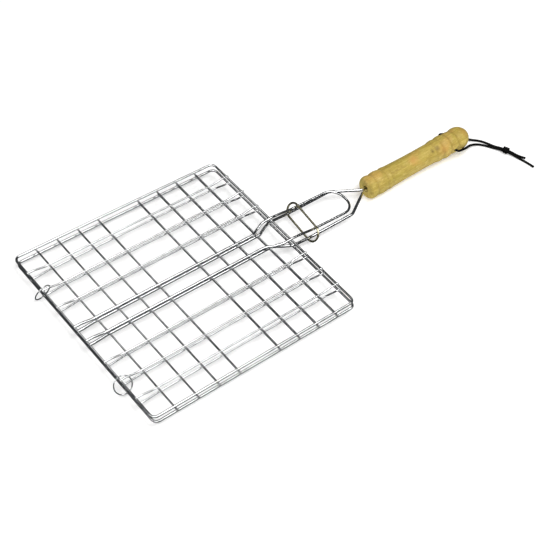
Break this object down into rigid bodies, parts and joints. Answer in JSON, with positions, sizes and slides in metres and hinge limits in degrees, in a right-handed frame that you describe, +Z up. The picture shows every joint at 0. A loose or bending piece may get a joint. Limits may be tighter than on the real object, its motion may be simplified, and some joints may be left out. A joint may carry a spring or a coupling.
{
  "type": "grill basket",
  "caption": "Flat folding wire grill basket: two hinged square wire grids, a thumb loop held by a sliding ring, a turned wooden handle and a black hanging cord.",
  "frame": {"origin": "centre of the bounding box without the cord, on the table that the closed basket lies on", "axes": "+X from the hinge side towards the wooden handle, +Z up from the table, +Y to the left"},
  "size_m": [0.5661, 0.2266, 0.0309],
  "materials": {
    "bright_wire": "bright plated steel wire",
    "ring_wire": "yellowish plated steel wire",
    "wood": "pale turned wood, satin",
    "cord": "black braided cord"
  },
  "bodies": {
    "lower_grid": {"lower_rim": "bright_wire", "lower_cross_bar_1": "bright_wire", "lower_cross_bar_2": "bright_wire", "lower_cross_bar_3": "bright_wire", "lower_cross_bar_4": "bright_wire", "lower_cross_bar_5": "bright_wire", "lower_cross_bar_6": "bright_wire", "lower_cross_bar_7": "bright_wire", "lower_cross_bar_8": "bright_wire", "lower_long_bar_1": "bright_wire", "lower_long_bar_2": "bright_wire", "lower_long_bar_3": "bright_wire", "lower_long_bar_4": "bright_wire", "lower_long_bar_5": "bright_wire", "lower_long_bar_6": "bright_wire", "handle_wire_left": "bright_wire", "handle_wire_right": "bright_wire", "wooden_handle": "wood", "cord_near": "cord", "cord_far": "cord", "cord_knot": "cord"},
    "upper_grid": {"upper_rim": "bright_wire", "upper_cross_bar_1": "bright_wire", "upper_cross_bar_2": "bright_wire", "upper_cross_bar_3": "bright_wire", "upper_cross_bar_4": "bright_wire", "upper_cross_bar_5": "bright_wire", "upper_cross_bar_6": "bright_wire", "upper_cross_bar_7": "bright_wire", "upper_cross_bar_8": "bright_wire", "upper_long_bar_1": "bright_wire", "upper_long_bar_2": "bright_wire", "upper_long_bar_3": "bright_wire", "upper_long_bar_4": "bright_wire", "upper_long_bar_5": "bright_wire", "upper_long_bar_6": "bright_wire", "upper_loop": "bright_wire"},
    "locking_ring": {"locking_ring": "ring_wire"},
    "hinge_ring_left": {"hinge_ring_left": "bright_wire"},
    "hinge_ring_right": {"hinge_ring_right": "bright_wire"}
  },
  "joints": [
    {"name": "lid_hinge", "type": "hinge", "parent": "lower_grid", "child": "upper_grid", "pos_m": [-0.25073, 0, 0.01583], "axis": [0, -1, 0], "range_deg": [0, 175]},
    {"name": "locking_slide", "type": "slide", "parent": "lower_grid", "child": "locking_ring", "axis": [1, 0, 0.0092], "range_m": [0, 0.07]},
    {"name": "hinge_ring_left_slide", "type": "slide", "parent": "lower_grid", "child": "hinge_ring_left", "axis": [0, 1, 0], "range_m": [0, 0.014]},
    {"name": "hinge_ring_right_slide", "type": "slide", "parent": "lower_grid", "child": "hinge_ring_right", "axis": [0, 1, 0], "range_m": [0, 0.0012]}
  ]
}
